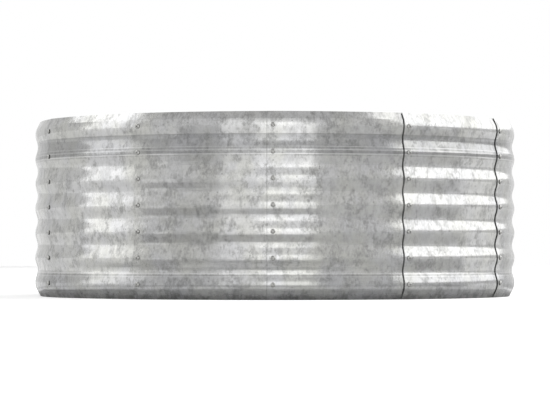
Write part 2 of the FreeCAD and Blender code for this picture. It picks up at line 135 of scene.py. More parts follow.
def make_cloud_group():
    """Soft patches of one size, longer upright than across where stretch is above 1."""
    tree, ask, give = new_group("zinc_clouds", "ShaderNodeTree", {
        "Vector": (VECTOR, None), "Size": (NUMBER, 0.06), "Stretch": (NUMBER, 1.0),
        "Edge": (NUMBER, 0.2), "Place": (NUMBER, 0.0)}, {"Mask": NUMBER})
    upright = calc(tree, "DIVIDE", 1.0, ask["Stretch"])
    squeeze = out(put(tree, "ShaderNodeCombineXYZ", {"X": 1.0, "Y": 1.0, "Z": upright}))
    drawn = put(tree, "ShaderNodeVectorMath", {0: ask["Vector"], 1: squeeze}, operation="MULTIPLY")
    noise = put(tree, "ShaderNodeTexNoise", {
        "Vector": out(drawn), "Scale": calc(tree, "DIVIDE", 1.0, ask["Size"]),
        "W": ask["Place"], "Detail": 4.0, "Roughness": 0.6}, noise_dimensions="4D")
    low = calc(tree, "SUBTRACT", 0.5, ask["Edge"])
    high = calc(tree, "ADD", 0.5, ask["Edge"])
    tree.links.new(blend_range(tree, out(noise), low, high), give["Mask"])
    return tree


def make_speck_group():
    """Small dark specks: the middles of the few cells that a random draw picks."""
    tree, ask, give = new_group("dark_specks", "ShaderNodeTree", {
        "Vector": (VECTOR, None), "Spacing": (NUMBER, 0.012), "Share": (NUMBER, 0.2),
        "Radius": (NUMBER, 0.25)}, {"Mask": NUMBER})
    cells = put(tree, "ShaderNodeTexVoronoi", {
        "Vector": ask["Vector"], "Scale": calc(tree, "DIVIDE", 1.0, ask["Spacing"])})
    draw = out(put(tree, "ShaderNodeSeparateColor", {"Color": out(cells, "Color")}), "Red")
    picked = calc(tree, "LESS_THAN", draw, ask["Share"])
    fade = blend_range(tree, out(cells, "Distance"), calc(tree, "MULTIPLY", ask["Radius"], 0.5),
                       ask["Radius"], 1.0, 0.0)
    tree.links.new(calc(tree, "MULTIPLY", picked, fade), give["Mask"])
    return tree


def make_round_line_group():
    """A thin mark that runs round the bed at one height."""
    tree, ask, give = new_group("line_round", "ShaderNodeTree", {
        "Vector": (VECTOR, None), "Height": (NUMBER, 0.3), "Half Width": (NUMBER, 0.001)},
        {"Mask": NUMBER})
    level = out(put(tree, "ShaderNodeSeparateXYZ", {"Vector": ask["Vector"]}), "Z")
    away = calc(tree, "ABSOLUTE", calc(tree, "SUBTRACT", level, ask["Height"]))
    wide = calc(tree, "MULTIPLY", ask["Half Width"], 1.5)
    narrow = calc(tree, "MULTIPLY", ask["Half Width"], 0.5)
    tree.links.new(blend_range(tree, away, narrow, wide, 1.0, 0.0), give["Mask"])
    return tree


CLOUDS, SPECKS, ROUND_LINE = make_cloud_group(), make_speck_group(), make_round_line_group()


def shared(tree, group, **inputs):
    """One of the shared effects, placed in a material with that material's values."""
    named = {key.replace("_", " "): value for key, value in inputs.items()}
    return out(put(tree, "ShaderNodeGroup", named, node_tree=group))


def tint(tree, mask, low, high, mode="MIX"):
    """From one colour to the other as the mask goes from 0 to 1."""
    node = put(tree, "ShaderNodeMix", {"Factor": mask, "A": low, "B": high}, data_type="RGBA",
               blend_type=mode)
    return out(node, "Result")


# The sheet's colours, as the metal reflects them, the two zones that the rolls left darker,
# and their marks: height, half width and strength.
COOL_ZINC, OLIVE_ZINC = (0.448, 0.45, 0.456, 1), (0.443, 0.444, 0.421, 1)
PALE_ZINC, DARK_ZINC = (0.54, 0.54, 0.535, 1), (0.22, 0.221, 0.216, 1)
# The first is the near black used for the painted shade along the seams and for the foot, which is
# darker towards the ground.
SEAM_SHADE_AND_FOOT_DARK, MARK_SHINE = (0.02, 0.02, 0.019, 1), (0.62, 0.62, 0.62, 1)
ROLLING_GRAIN, GRAZING_TINT = 0.3, (0.88, 0.88, 0.88, 1)
ROLLED_ZONES = {
    (-0.001, 0.0477): (0.83, 0.832, 0.84, 1),
    (0.279, 0.317): (0.715, 0.717, 0.728, 1)}
ZONE_BLUR = 0.0005
DARK_MARKS = ((0.317, 0.0009, 0.7), (0.2905, 0.0008, 0.35), (0.2826, 0.0022, 0.45),
              (0.276, 0.0011, 0.55), (0.0472, 0.0009, 0.6))
BRIGHT_MARKS = ((0.2928, 0.0007, 0.35), (0.2868, 0.0008, 0.4), (0.279, 0.0008, 0.5),
                (0.0505, 0.0008, 0.5), (0.044, 0.0007, 0.3))
# Where the painted shade along the seams begins and ends, as shares of its reach, how much of the
# metal's shine that shade and the darker foot take, and the foot of the wall, darker towards the
# ground: its heights and how dark it is at the ground.
SEAM_SHADE_FADE, UNDER_LAP_FADE, SHADE_AND_DARK_COVER = (0.8, 1.0), (-1.5, -1.0), 0.9
FOOT_NO_DARK, FOOT_FULL_DARK, FOOT_DARKNESS = 0.014, 0.004, 0.42


def unroll(tree, here):
    """The place on the wall laid out flat, cut open at a rear seam: marks run straight up."""
    to_cut = put(tree, "ShaderNodeVectorRotate", {
        "Vector": here, "Angle": math.pi - SEAMS[REAR_CUT]}, rotation_type="Z_AXIS")
    turned = put(tree, "ShaderNodeSeparateXYZ", {"Vector": out(to_cut)})
    angle = calc(tree, "ARCTAN2", out(turned, "Y"), out(turned, "X"))
    return out(put(tree, "ShaderNodeCombineXYZ", {
        "X": calc(tree, "MULTIPLY", angle, SEAM_RADIUS), "Z": out(turned, "Z")}))


def make_sheet_metal():
    """Weathered galvanised sheet: mottled zinc, upright streaks, roll marks, painted shade along
    the seams and a foot darker towards the ground.
    """
    metal = bpy.data.materials.new("galvanised_sheet")
    metal.use_nodes = True
    tree = metal.node_tree
    shader = tree.nodes["Principled BSDF"]
    shader.inputs["Metallic"].default_value = 1.0
    shader.inputs["Anisotropic"].default_value = ROLLING_GRAIN
    shader.inputs["Specular Tint"].default_value = GRAZING_TINT
    upright = out(put(tree, "ShaderNodeCombineXYZ", {"Z": 1.0}))
    tree.links.new(upright, shader.inputs["Tangent"])
    here = out(put(tree, "ShaderNodeTexCoord"), "Object")
    level = out(put(tree, "ShaderNodeSeparateXYZ", {"Vector": here}), "Z")
    wall = unroll(tree, here)

    broad = shared(tree, CLOUDS, Vector=wall, Size=0.075, Stretch=1.2, Edge=0.16, Place=1.3)
    warm = shared(tree, CLOUDS, Vector=wall, Size=0.06, Stretch=1.0, Edge=0.12, Place=7.6)
    smudge = shared(tree, CLOUDS, Vector=wall, Size=0.013, Stretch=1.15, Edge=0.1, Place=3.4)
    streak = shared(tree, CLOUDS, Vector=wall, Size=0.0036, Stretch=1.8, Edge=0.1, Place=5.7)
    patch = shared(tree, CLOUDS, Vector=wall, Size=0.04, Stretch=1.2, Edge=0.08, Place=9.2)
    flecks = shared(tree, SPECKS, Vector=wall, Spacing=0.009, Share=0.16, Radius=0.24)

    zinc = tint(tree, warm, COOL_ZINC, OLIVE_ZINC)
    zinc = tint(tree, calc(tree, "MULTIPLY", broad, 0.5), zinc, PALE_ZINC)
    mottle = calc(tree, "MULTIPLY", smudge, calc(tree, "MULTIPLY_ADD", patch, 0.75, 0.25))
    dashes = calc(tree, "MULTIPLY", streak, calc(tree, "MULTIPLY_ADD", mottle, 0.52, 0.16))
    for mask, strength in ((mottle, 0.45), (dashes, 1.0), (flecks, 0.6)):
        zinc = tint(tree, calc(tree, "MULTIPLY", mask, strength), zinc, DARK_ZINC)

    for (low, high), shade in ROLLED_ZONES.items():
        above = blend_range(tree, level, low - ZONE_BLUR, low + ZONE_BLUR)
        below = blend_range(tree, level, high - ZONE_BLUR, high + ZONE_BLUR, 1.0, 0.0)
        zone = calc(tree, "MULTIPLY", above, below)
        zinc = tint(tree, zone, zinc, shade, "MULTIPLY")
    worn = calc(tree, "MULTIPLY_ADD", broad, 0.5, calc(tree, "MULTIPLY_ADD", smudge, 0.4, 0.3))
    for marks, colour in ((DARK_MARKS, DARK_ZINC), (BRIGHT_MARKS, MARK_SHINE)):
        for height, half_width, strength in marks:
            line = shared(tree, ROUND_LINE, Vector=here, Height=height, Half_Width=half_width)
            line = calc(tree, "MULTIPLY", calc(tree, "MULTIPLY", line, worn), strength)
            zinc = tint(tree, line, zinc, colour)

    # Painted shade: the shadowed gap of each lap, drawn as a dark band on the covered sheet beside
    # the covering edge, and on the covering sheet's own edge at the open seams.
    past_lap, past_edge, lap_grime, edge_grime = [
        out(put(tree, "ShaderNodeAttribute", attribute_name=label), "Fac")
        for label in ("past_lap", "past_edge", "lap_grime", "edge_grime")]
    lap = calc(tree, "MULTIPLY", blend_range(tree, past_lap, *SEAM_SHADE_FADE, 1.0, 0.0),
               blend_range(tree, past_lap, *UNDER_LAP_FADE))
    lap = calc(tree, "MULTIPLY", lap, lap_grime)
    edge = calc(tree, "MULTIPLY", blend_range(tree, past_edge, *SEAM_SHADE_FADE, 1.0, 0.0), edge_grime)
    # The foot of the wall, darker towards the ground.
    foot = blend_range(tree, level, FOOT_FULL_DARK, FOOT_NO_DARK, FOOT_DARKNESS, 0.0)
    foot = calc(tree, "MULTIPLY", foot, calc(tree, "MULTIPLY_ADD", smudge, 0.4, 0.8))
    shade_and_dark = calc(tree, "MAXIMUM", calc(tree, "MAXIMUM", lap, edge), foot)
    zinc = tint(tree, shade_and_dark, zinc, SEAM_SHADE_AND_FOOT_DARK)
    tree.links.new(zinc, shader.inputs["Base Color"])
    covered = calc(tree, "MULTIPLY", shade_and_dark, SHADE_AND_DARK_COVER)
    tree.links.new(calc(tree, "SUBTRACT", 1.0, covered), shader.inputs["Metallic"])

    dull = calc(tree, "MULTIPLY_ADD", smudge, 0.07, 0.165)
    dull = calc(tree, "MULTIPLY_ADD", broad, -0.03, dull)
    dull = calc(tree, "MULTIPLY_ADD", shade_and_dark, 0.5, dull, clamp=True)
    tree.links.new(dull, shader.inputs["Roughness"])
    ripple = calc(tree, "MULTIPLY_ADD", smudge, 0.4, calc(tree, "MULTIPLY", streak, 0.2))
    bump = put(tree, "ShaderNodeBump", {"Height": ripple, "Distance": 0.0002, "Strength": 0.3})
    tree.links.new(out(bump), shader.inputs["Normal"])
    return metal


SHEET_METAL = make_sheet_metal()


def arc(centre, radius, first, last, steps):
    """Points on an arc, from one angle to the other."""
    angles = [first + (last - first) * i / steps for i in range(steps + 1)]
    return [(centre[0] + radius * math.cos(a), centre[1] + radius * math.sin(a)) for a in angles]


def edge_of_sheet(crest_height, step, edge_height):
    """The edge strip and its bend, seen from the edge: ends on the flank of the end crest."""
    side = math.copysign(1, step)
    radius = EDGE_BEND + SHEET / 2
    reach = WAVE_BEND - EDGE_BEND
    out_from_crest = (reach - abs(step) * math.sin(FLANK)) / math.cos(FLANK)
    centre = (out_from_crest - WAVE_BEND - SHEET / 2, crest_height + step)
    bend = arc(centre, radius, side * STRIP, side * FLANK, EDGE_STEPS)
    run = abs(edge_height - bend[0][1])
    strip = [(bend[0][0] - run * share * math.tan(STRIP), bend[0][1] + side * run * share)
             for share in STRIP_SHARES]
    return strip + bend


def make_section():
    """The outside of the sheet, from the ground up: (distance out from the crests, height)."""
    wide, tight = WAVE_BEND + SHEET / 2, WAVE_BEND - SHEET / 2
    points = edge_of_sheet(FIRST_CREST, -FOOT_DROP, 0.0)
    last_crest = FIRST_CREST + (CRESTS - 1) * PITCH
    for k in range(CRESTS):
        crest = FIRST_CREST + k * PITCH
        points += arc((-wide, crest), wide, -FLANK, FLANK, BEND_STEPS)
        if k < CRESTS - 1:
            points += arc((tight - DEPTH, crest + PITCH / 2), tight, math.pi + FLANK,
                          math.pi - FLANK, BEND_STEPS)
    points += reversed(edge_of_sheet(last_crest, HEAD_RISE, HEIGHT))
    mesh = bpy.data.meshes.new("sheet_section")
    mesh.from_pydata([(across, 0, up) for across, up in points], [], [])
    return bpy.data.objects.new("sheet_section", mesh), len(points)


def shade_smooth(tree, geometry):
    """Smooth faces, with every edge past a set angle kept sharp."""
    smooth = put(tree, "GeometryNodeSetShadeSmooth", {
        "Geometry": geometry, "Shade Smooth": True}, domain="FACE")
    sharp = put(tree, "FunctionNodeCompare", {
        "A": out(put(tree, "GeometryNodeInputMeshEdgeAngle")), "B": SHARP_EDGE},
        data_type="FLOAT", operation="GREATER_THAN")
    return put(tree, "GeometryNodeSetShadeSmooth", {
        "Geometry": out(smooth), "Selection": out(sharp), "Shade Smooth": False}, domain="EDGE")


def make_bending_tree():
    """Bends the section round the panel's arc, gives it its thickness and punches it."""
    tree, ask, give = new_group("bend_wall_sheet", "GeometryNodeTree", {
        "Geometry": ("NodeSocketGeometry", None), "Section": ("NodeSocketObject", None),
        "Rows": ("NodeSocketInt", 10), "Columns": ("NodeSocketInt", COLUMNS),
        "Bow": (NUMBER, 0.5), "Sweep": (NUMBER, 0.5), "Slide": (NUMBER, 0.0),
        "Middle": (NUMBER, 0.0), "Setback": (NUMBER, 0.0), "Shift": (NUMBER, 0.0),
        "Thickness": (NUMBER, SHEET),
        "Flare": (NUMBER, 0.0), "Flare Reach": (NUMBER, 0.009),
        "Dent Depth": (NUMBER, 0.0003), "Dent Size": (NUMBER, 0.09),
        "Span": (NUMBER, 0.5), "Seam Radius": (NUMBER, SEAM_RADIUS),
        "Hole Radius": (NUMBER, HOLE_RADIUS), "First Hole": (NUMBER, FIRST_CREST),
        "Hole Pitch": (NUMBER, PITCH), "Holes": ("NodeSocketInt", CRESTS),
        # How far the painted shade of the lap's gap reaches on this sheet and on its edge, and how
        # dark it is.
        "Lap Reach": (NUMBER, 0.001), "Lap Grime": (NUMBER, 0.9),
        "Edge Reach": (NUMBER, 0.001), "Edge Grime": (NUMBER, 0.0),
        "Metal": ("NodeSocketMaterial", None)}, {"Geometry": "NodeSocketGeometry"})
    grid = put(tree, "GeometryNodeMeshGrid", {"Vertices X": ask["Columns"],
                                              "Vertices Y": ask["Rows"]})
    index = out(put(tree, "GeometryNodeInputIndex"))
    column = calc(tree, "FLOOR", calc(tree, "DIVIDE", index, ask["Rows"]))
    row = calc(tree, "MODULO", index, ask["Rows"])
    share = calc(tree, "DIVIDE", column, calc(tree, "SUBTRACT", ask["Columns"], 1.0))
    section = put(tree, "GeometryNodeObjectInfo", {"Object": ask["Section"]})
    here = out(put(tree, "GeometryNodeInputPosition"))
    point = put(tree, "GeometryNodeSampleIndex", {
        "Geometry": out(section, "Geometry"), "Value": here, "Index": row},
        data_type="FLOAT_VECTOR", domain="POINT")
    point = put(tree, "ShaderNodeSeparateXYZ", {"Vector": out(point)})
    turn = calc(tree, "MULTIPLY_ADD", calc(tree, "SUBTRACT", share, 0.5), ask["Sweep"],
                ask["Slide"])
    width = calc(tree, "MULTIPLY", ask["Sweep"], ask["Bow"])
    from_left = calc(tree, "MULTIPLY", share, width)

    near_edge = calc(tree, "SUBTRACT", 1.0, calc(tree, "DIVIDE", from_left, ask["Flare Reach"]),
                     clamp=True)
    flare = calc(tree, "MULTIPLY", calc(tree, "POWER", near_edge, 2.0), ask["Flare"])
    rolled_out = out(put(tree, "ShaderNodeCombineXYZ", {
        "X": from_left, "Y": ask["Middle"], "Z": out(point, "Z")}))
    dent_scale = calc(tree, "DIVIDE", 1.0, ask["Dent Size"])
    dents = put(tree, "ShaderNodeTexNoise", {"Vector": rolled_out, "Scale": dent_scale,
                                             "Detail": 1.0}, noise_dimensions="3D")
    dent = calc(tree, "MULTIPLY", calc(tree, "SUBTRACT", out(dents), 0.5), ask["Dent Depth"])
    radius = ask["Bow"]
    for part in (out(point, "X"), flare, dent):
        radius = calc(tree, "ADD", radius, part)
    place = out(put(tree, "ShaderNodeCombineXYZ", {
        "X": calc(tree, "MULTIPLY", radius, calc(tree, "COSINE", turn)),
        "Y": calc(tree, "MULTIPLY", radius, calc(tree, "SINE", turn)), "Z": out(point, "Z")}))
    outside = put(tree, "GeometryNodeSetPosition", {"Geometry": out(grid), "Position": place})

    normal = out(put(tree, "GeometryNodeInputNormal"))
    inwards = put(tree, "ShaderNodeVectorMath", {
        0: normal, "Scale": calc(tree, "MULTIPLY", ask["Thickness"], -1.0)}, operation="SCALE")
    back = put(tree, "GeometryNodeExtrudeMesh", {
        "Mesh": out(outside), "Offset": out(inwards), "Offset Scale": 1.0, "Individual": False},
        mode="FACES")
    back = put(tree, "GeometryNodeFlipFaces", {"Mesh": out(back, "Mesh")})
    both = put(tree, "GeometryNodeJoinGeometry", {"Geometry": [out(outside), out(back)]})
    sheet = put(tree, "GeometryNodeMergeByDistance", {"Geometry": out(both), "Distance": 1e-6})
    back_to_axis = out(put(tree, "ShaderNodeCombineXYZ", {
        "X": calc(tree, "MULTIPLY", ask["Setback"], -1.0),
        "Y": calc(tree, "MULTIPLY", ask["Shift"], -1.0), "Z": 0.0}))
    sheet = put(tree, "GeometryNodeTransform", {"Geometry": out(sheet),
                                                "Translation": back_to_axis})

    punch = put(tree, "GeometryNodeMeshCylinder", {
        "Vertices": PUNCH_SIDES, "Radius": ask["Hole Radius"], "Depth": PUNCH_LENGTH},
        fill_type="NGON")
    out_to_seam = out(put(tree, "ShaderNodeCombineXYZ", {"X": ask["Seam Radius"]}))
    punch = put(tree, "GeometryNodeTransform", {
        "Geometry": out(punch), "Translation": out_to_seam, "Rotation": (0, math.pi / 2, 0)})
    line = put(tree, "GeometryNodeMeshLine", {
        "Count": ask["Holes"],
        "Start Location": out(put(tree, "ShaderNodeCombineXYZ", {"Z": ask["First Hole"]})),
        "Offset": out(put(tree, "ShaderNodeCombineXYZ", {"Z": ask["Hole Pitch"]}))})
    row_of_punches = put(tree, "GeometryNodeInstanceOnPoints", {
        "Points": out(line), "Instance": out(punch)})
    both_rows = []
    for side in (-0.5, 0.5):
        swing = out(put(tree, "ShaderNodeCombineXYZ", {
            "Z": calc(tree, "MULTIPLY", ask["Span"], side)}))
        swung = put(tree, "GeometryNodeTransform", {"Geometry": out(row_of_punches),
                                                    "Rotation": swing})
        both_rows.append(out(swung))
    punches = put(tree, "GeometryNodeJoinGeometry", {"Geometry": both_rows})
    punches = put(tree, "GeometryNodeRealizeInstances", {"Geometry": out(punches)})
    sheet = put(tree, "GeometryNodeMeshBoolean", {"Mesh 1": out(sheet), "Mesh 2": out(punches)},
                operation="DIFFERENCE", solver="MANIFOLD")

    own = put(tree, "ShaderNodeVectorMath", {0: here, 1: back_to_axis}, operation="SUBTRACT")
    own = put(tree, "ShaderNodeSeparateXYZ", {"Vector": out(own)})
    angle = calc(tree, "ARCTAN2", out(own, "Y"), out(own, "X"))
    angle = calc(tree, "SUBTRACT", angle, ask["Slide"])
    from_right = calc(tree, "MULTIPLY", ask["Bow"],
                      calc(tree, "SUBTRACT", calc(tree, "MULTIPLY", ask["Sweep"], 0.5), angle))
    past_lap = calc(tree, "SUBTRACT", from_right, 2 * LAP_MARGIN)
    from_own_left = calc(tree, "MULTIPLY", ask["Bow"],
                         calc(tree, "MULTIPLY_ADD", ask["Sweep"], 0.5, angle))
    # Where the painted shade of the lap's gap falls on this sheet, kept for the sheet's material.
    marks = {"past_lap": calc(tree, "DIVIDE", past_lap, ask["Lap Reach"]),
             "past_edge": calc(tree, "DIVIDE", from_own_left, ask["Edge Reach"]),
             "lap_grime": ask["Lap Grime"], "edge_grime": ask["Edge Grime"]}
    for label, value in marks.items():
        sheet = put(tree, "GeometryNodeStoreNamedAttribute", {
            "Geometry": out(sheet), "Name": label, "Value": value}, data_type="FLOAT",
            domain="POINT")
    upright_axis = out(put(tree, "ShaderNodeCombineXYZ", {"Z": ask["Middle"]}))
    sheet = put(tree, "GeometryNodeTransform", {"Geometry": out(sheet),
                                                "Rotation": upright_axis})
    sheet = shade_smooth(tree, out(sheet))
    sheet = put(tree, "GeometryNodeRealizeInstances", {"Geometry": out(sheet)})
    sheet = put(tree, "GeometryNodeSetMaterial", {"Geometry": out(sheet),
                                                  "Material": ask["Metal"]})
    tree.links.new(out(sheet), give["Geometry"])
    return tree


def grow(name, tree, values):
    """An object whose plain mesh is what the tree makes of these input values."""
    piece = bpy.data.objects.new(name, bpy.data.meshes.new(name))
    bpy.context.scene.collection.objects.link(piece)
    modifier = piece.modifiers.new(tree.name, "NODES")
    modifier.node_group = tree
    sockets = {item.name: item.identifier for item in tree.interface.items_tree
               if item.item_type == "SOCKET" and item.in_out == "INPUT"}
    for label, value in values.items():
        modifier[sockets[label]] = value
    depsgraph = bpy.context.evaluated_depsgraph_get()
    mesh = bpy.data.meshes.new_from_object(piece.evaluated_get(depsgraph),
                                           preserve_all_data_layers=True, depsgraph=depsgraph)
    piece.modifiers.clear()
    piece.data = mesh
    return piece


def hand_over(piece, node):
    """The piece stands for a CAD node, on the bed's one body."""
    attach(piece, "root")
    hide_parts(node)


SECTION, ROWS = make_section()
BENDING = make_bending_tree()
# The two seams whose laps are seen from their open side: how far the covering edge is sprung off
# (in, where below 0), and how far the painted shade of the lap's gap reaches on the covered sheet
# and the covering one.
OPEN_SEAMS = {2: (0.0, 0.0007, 0.0013), 3: (-0.0009, 0.0005, 0.0008)}
TIGHT_SEAM = (0.0, 0.0012, 0.001)
# How dark the painted shade of the lap's gap is at the open seams and at the tight ones.
OPEN_SEAM_SHADE, TIGHT_SEAM_SHADE = 0.5, 0.3

for number, (seam, span) in enumerate(zip(SEAMS, SPANS), start=1):
    half_turn = (span - SEAM_TURN) / 2
    bow = SEAM_RADIUS * math.sin(span / 2) / math.sin(half_turn)
    shift = LAP_STEP / (2 * math.sin(half_turn))
    next_seam = number % PANELS + 1
    flare, _, edge_reach = OPEN_SEAMS.get(number, TIGHT_SEAM)
    _, lap_reach, _ = OPEN_SEAMS.get(next_seam, TIGHT_SEAM)
    panel = grow("panel_%02d" % number, BENDING, {
        "Section": SECTION, "Rows": ROWS, "Columns": COLUMNS, "Bow": bow,
        "Sweep": span - SEAM_TURN + 2 * LAP_MARGIN / bow, "Middle": seam + span / 2,
        "Setback": bow * math.cos(half_turn) - SEAM_RADIUS * math.cos(span / 2),
        "Shift": shift, "Slide": shift * math.cos(half_turn) / bow, "Span": span,
        "Flare": flare, "Metal": SHEET_METAL, "Lap Reach": lap_reach, "Edge Reach": edge_reach,
        "Lap Grime": OPEN_SEAM_SHADE if next_seam in OPEN_SEAMS else TIGHT_SEAM_SHADE,
        "Edge Grime": OPEN_SEAM_SHADE if number in OPEN_SEAMS else 0.0})
    hand_over(panel, "wall_panel_%02d" % number)


# ---------------------------------------------------------------- seam bolts
# Seven zinc-plated M5 pan-head screws to a seam, one through each crest of the two lapped
# sheets. The heads are cold formed with a cross recess, and the thread is rolled.
HEAD_RADIUS, HEAD_SIDE, HEAD_HEIGHT = 0.0048, 0.0011, 0.0032
SHANK, BOLT_LENGTH, THREAD_PITCH, THREAD_DEPTH = 0.0025, 0.012, 0.0008, 0.0004
# The head's lower edge, the plain ends of the shank and its tip, where the thread begins and
# ends with its rings to a turn, and the places of the crown's rings from the rim inwards.
HEAD_INSET, HEAD_EDGE, PLAIN_END, TIP_TAPER = 0.0003, 0.0001, 0.0004, 0.8
THREAD_END, THREAD_RINGS = 0.0006, 4
CROWN_SHARES = (0.85, 0.7, 0.55, 0.4, 0.2, 0.05)
RECESS_REACH, RECESS_HALF_SLOT, RECESS_DEPTH = 0.0023, 0.00055, 0.0017
RECESS_TAPER, SLOT_KEPT, RECESS_OVERSHOOT = 0.55, 0.6, 0.001
SEAT_GAP = 0.00005
HEAD_SEAT = SEAM_RADIUS + LAP_STEP / 2 + SEAT_GAP + HEAD_RADIUS * math.tan(SEAM_TURN / 2)
SIDES = 20


def ring(along, radius, sides=SIDES):
    """A ring of points round the X axis; radius is a number or a function of the angle."""
    points = []
    for k in range(sides):
        angle = math.tau * k / sides
        reach = radius(angle) if callable(radius) else radius
        points.append((along, reach * math.cos(angle), reach * math.sin(angle)))
    return points


def skin(bm, rings):
    """Joins rings of points into a closed surface; both end rings are filled."""
    rows = [[bm.verts.new(p) for p in points] for points in rings]
    for lower, upper in zip(rows, rows[1:]):
        for k in range(len(lower)):
            bm.faces.new((lower[k - 1], lower[k], upper[k], upper[k - 1]))
    bm.faces.new(rows[0])
    bm.faces.new(rows[-1])


def thread(start, end, core, depth):
    """Rings of a right-hand thread from one place along X to another."""
    steps = round(abs(end - start) / THREAD_PITCH * THREAD_RINGS)

    def reach_at(along):
        def reach(angle):
            phase = (along / THREAD_PITCH - angle / math.tau) % 1.0
            return core + depth * (1 - abs(2 * phase - 1))
        return reach

    places = [start + (end - start) * k / steps for k in range(steps + 1)]
    return [ring(along, reach_at(along)) for along in places]


def as_object(name, bm):
    """A scene object from a mesh under construction, with its normals facing out."""
    bmesh.ops.recalc_face_normals(bm, faces=bm.faces)
    mesh = bpy.data.meshes.new(name)
    bm.to_mesh(mesh)
    bm.free()
    made = bpy.data.objects.new(name, mesh)
    bpy.context.scene.collection.objects.link(made)
    return made


def cut(blank, tool, operation="DIFFERENCE"):
    """Cuts one solid with another, keeps the result as the blank's mesh, drops the tool."""
    modifier = blank.modifiers.new("cut", "BOOLEAN")
    modifier.operation, modifier.solver, modifier.object = operation, "EXACT", tool
    depsgraph = bpy.context.evaluated_depsgraph_get()
    mesh = bpy.data.meshes.new_from_object(blank.evaluated_get(depsgraph))
    blank.modifiers.clear()
    blank.data = mesh
    bpy.data.objects.remove(tool)
    return blank


def make_bolt():
    """One screw, its head's underside at the origin and its crown towards +X."""
    bm = bmesh.new()
    core = SHANK - THREAD_DEPTH
    rings = [ring(-BOLT_LENGTH, core * TIP_TAPER), ring(-BOLT_LENGTH + PLAIN_END, core)]
    rings += thread(-BOLT_LENGTH + THREAD_END, -THREAD_END, core, THREAD_DEPTH)
    rings += [ring(-PLAIN_END, core), ring(0.0, core), ring(0.0, HEAD_RADIUS - HEAD_INSET),
              ring(HEAD_EDGE, HEAD_RADIUS), ring(HEAD_SIDE, HEAD_RADIUS)]
    rise = HEAD_HEIGHT - HEAD_SIDE
    dome = (HEAD_RADIUS ** 2 + rise ** 2) / (2 * rise)
    rim = math.asin(HEAD_RADIUS / dome)
    for share in CROWN_SHARES:
        angle = rim * share
        rings.append(ring(HEAD_HEIGHT - dome * (1 - math.cos(angle)), dome * math.sin(angle)))
    skin(bm, rings)
    bolt = as_object("bolt", bm)
    for turn in (0, math.pi / 2):
        bm = bmesh.new()
        spin = Matrix.Rotation(turn, 3, "X")
        rows = []
        for along, taper in ((HEAD_HEIGHT + RECESS_OVERSHOOT, 1.0),
                             (HEAD_HEIGHT - RECESS_DEPTH, RECESS_TAPER)):
            long = RECESS_REACH * taper
            short = RECESS_HALF_SLOT * (SLOT_KEPT + (1 - SLOT_KEPT) * taper)
            corners = ((long, short), (-long, short), (-long, -short), (long, -short))
            rows.append([spin @ Vector((along, across, up)) for across, up in corners])
        skin(bm, rows)
        cut(bolt, as_object("recess", bm))
    return bolt


DULL_PLATE, BRIGHT_PLATE = (0.28, 0.28, 0.272, 1), (0.40, 0.398, 0.385, 1)


def make_zinc_plate():
    """Dull zinc plating: cloudy, a little warmer than the sheet, with small dark spots."""
    metal = bpy.data.materials.new("zinc_plate")
    metal.use_nodes = True
    tree = metal.node_tree
    shader = tree.nodes["Principled BSDF"]
    shader.inputs["Metallic"].default_value = 1.0
    here = out(put(tree, "ShaderNodeTexCoord"), "Object")
    cloudy = shared(tree, CLOUDS, Vector=here, Size=0.004, Stretch=1.0, Edge=0.2, Place=2.0)
    dots = shared(tree, SPECKS, Vector=here, Spacing=0.0015, Share=0.2, Radius=0.3)
    zinc = tint(tree, cloudy, DULL_PLATE, BRIGHT_PLATE)
    zinc = tint(tree, calc(tree, "MULTIPLY", dots, 0.5), zinc, DARK_ZINC)
    tree.links.new(zinc, shader.inputs["Base Color"])
    tree.links.new(calc(tree, "MULTIPLY_ADD", cloudy, 0.12, 0.26), shader.inputs["Roughness"])
    bump = put(tree, "ShaderNodeBump", {"Height": cloudy, "Distance": 0.0001, "Strength": 0.4})
    tree.links.new(out(bump), shader.inputs["Normal"])
    return metal


def make_fastening_tree():
    """One fastener to a crest, up a seam, each turned by chance about its own axis."""
    tree, ask, give = new_group("fasten_seam", "GeometryNodeTree", {
        "Geometry": ("NodeSocketGeometry", None), "Fastener": ("NodeSocketObject", None),
        "Count": ("NodeSocketInt", CRESTS), "First": (NUMBER, FIRST_CREST),
        "Pitch": (NUMBER, PITCH), "Radius": (NUMBER, SEAM_RADIUS), "Angle": (NUMBER, 0.0),
        "Seed": ("NodeSocketInt", 1), "Metal": ("NodeSocketMaterial", None)},
        {"Geometry": "NodeSocketGeometry"})
    line = put(tree, "GeometryNodeMeshLine", {
        "Count": ask["Count"],
        "Start Location": out(put(tree, "ShaderNodeCombineXYZ", {"X": ask["Radius"],
                                                                 "Z": ask["First"]})),
        "Offset": out(put(tree, "ShaderNodeCombineXYZ", {"Z": ask["Pitch"]}))})
    chance = put(tree, "FunctionNodeRandomValue", {"Min": 0.0, "Max": math.tau,
                                                   "Seed": ask["Seed"]}, data_type="FLOAT")
    spin = out(put(tree, "ShaderNodeCombineXYZ", {"X": out(chance)}))
    thing = put(tree, "GeometryNodeObjectInfo", {"Object": ask["Fastener"]})
    row = put(tree, "GeometryNodeInstanceOnPoints", {
        "Points": out(line), "Instance": out(thing, "Geometry"), "Rotation": spin})
    swing = out(put(tree, "ShaderNodeCombineXYZ", {"Z": ask["Angle"]}))
    row = put(tree, "GeometryNodeTransform", {"Geometry": out(row), "Rotation": swing})
    row = put(tree, "GeometryNodeRealizeInstances", {"Geometry": out(row)})
    row = shade_smooth(tree, out(row))
    row = put(tree, "GeometryNodeSetMaterial", {"Geometry": out(row), "Material": ask["Metal"]})
    tree.links.new(out(row), give["Geometry"])
    return tree


ZINC_PLATE, FASTENING = make_zinc_plate(), make_fastening_tree()


